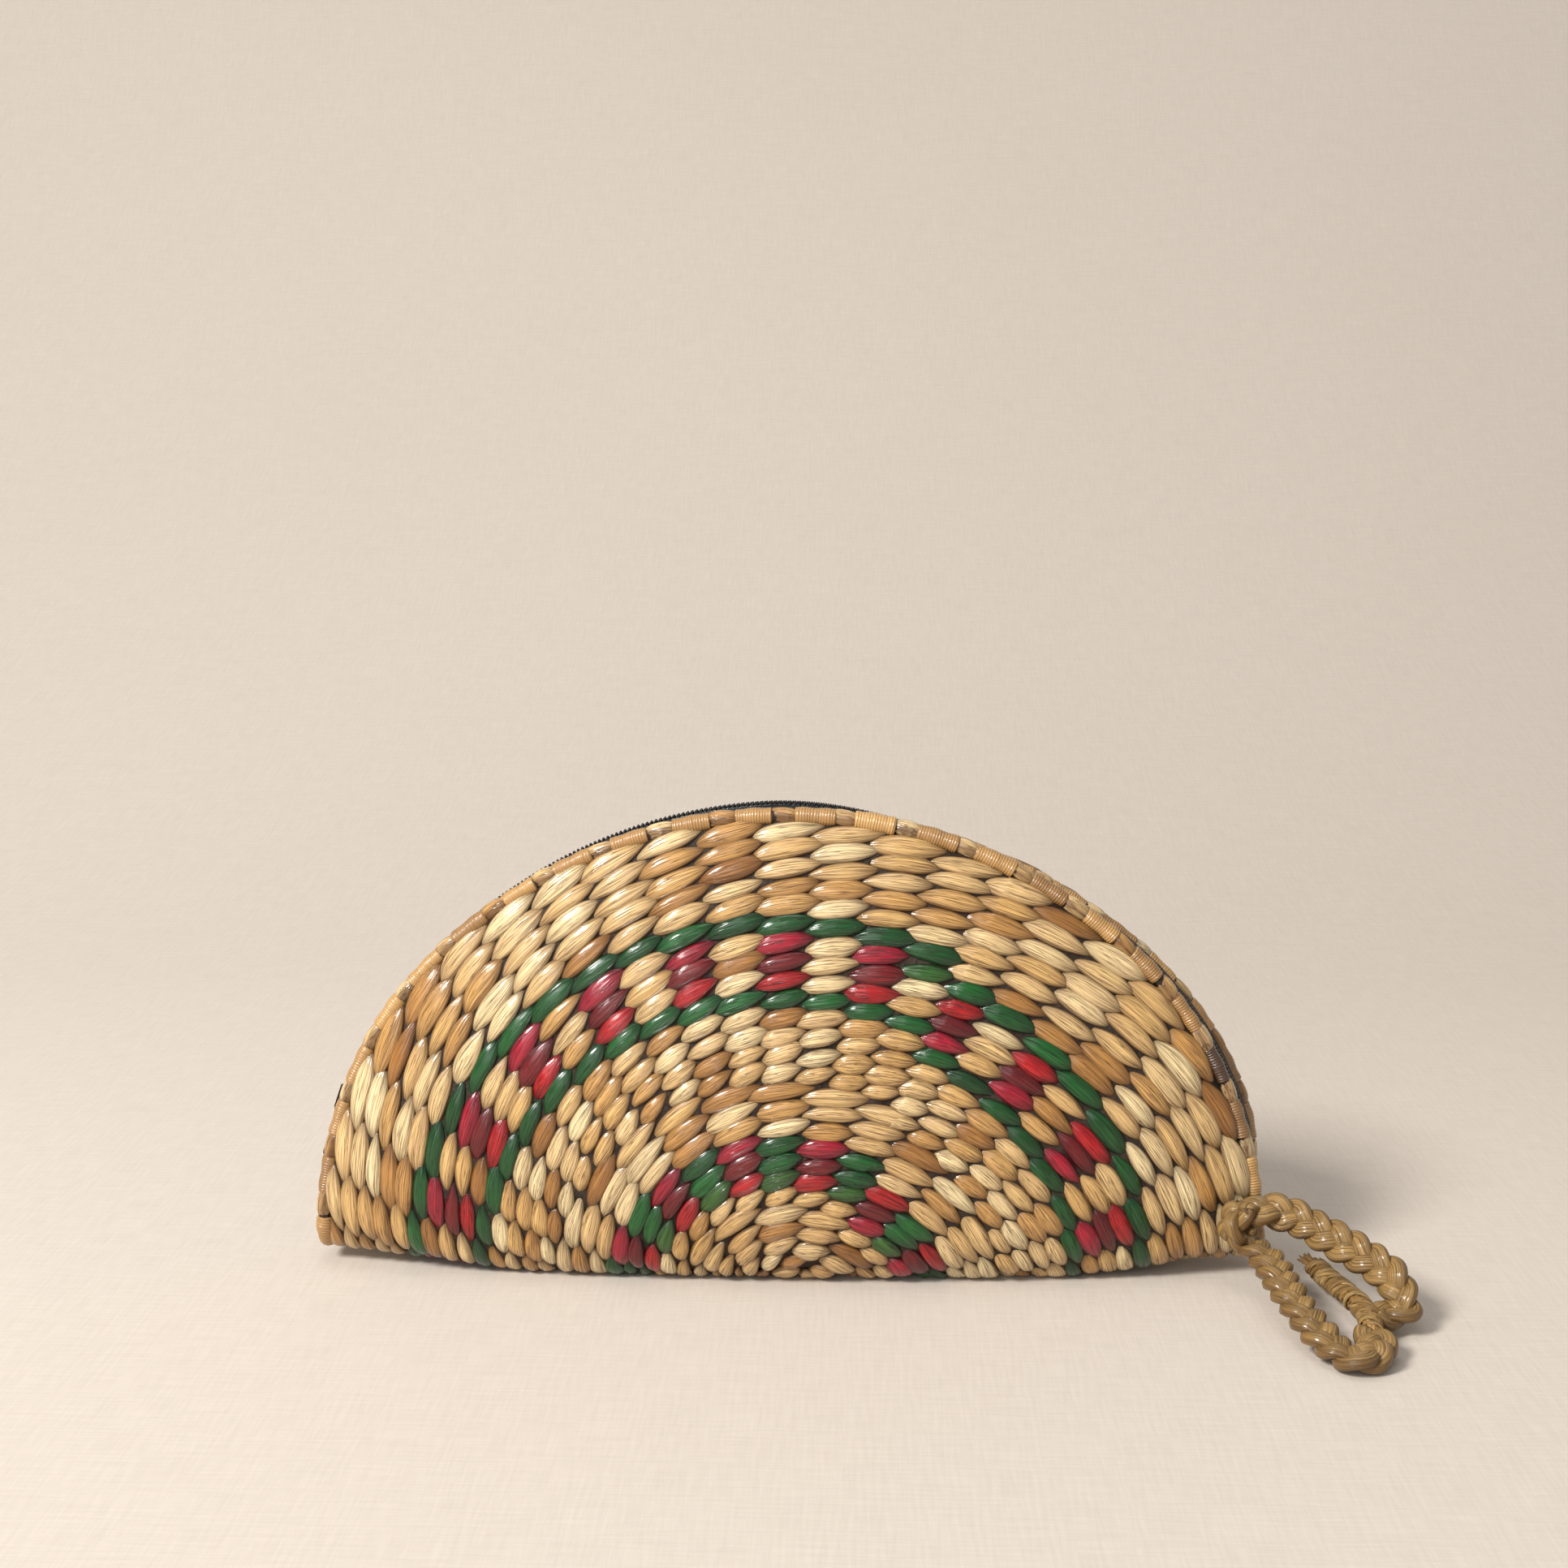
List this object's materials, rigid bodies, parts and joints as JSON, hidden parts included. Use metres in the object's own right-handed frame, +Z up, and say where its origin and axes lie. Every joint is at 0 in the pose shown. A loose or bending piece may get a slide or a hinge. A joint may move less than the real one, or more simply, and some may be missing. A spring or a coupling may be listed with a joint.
{
  "type": "water hyacinth handbag",
  "caption": "Half-moon clutch of a folded round woven mat with coloured rows, a wrapped rim, a zip along the arc and a braided wrist loop at one corner.",
  "frame": {"origin": "middle of the flat strip under the fold, where the bag rests", "axes": "+X along the width towards the corner with the wrist loop, -Y towards the front side, +Z up towards the zip"},
  "size_m": [0.316, 0.1107, 0.139],
  "materials": {
    "hyacinth": "varnished woven water hyacinth, natural, green and red rows",
    "wrapping": "wound hyacinth fibre",
    "braid": "plain braided hyacinth",
    "nylon": "black woven zip tape",
    "coil": "black nylon coil",
    "slider": "black lacquered zinc"
  },
  "bodies": {
    "root": {"woven_body": "hyacinth", "rim": "wrapping", "zip_tape_front": "nylon", "zip_tape_back": "nylon", "zip_teeth": "coil", "zip_slider": "slider", "wrist_strap": "braid", "strap_binding": "wrapping", "strap_tie": "wrapping"}
  },
  "joints": []
}
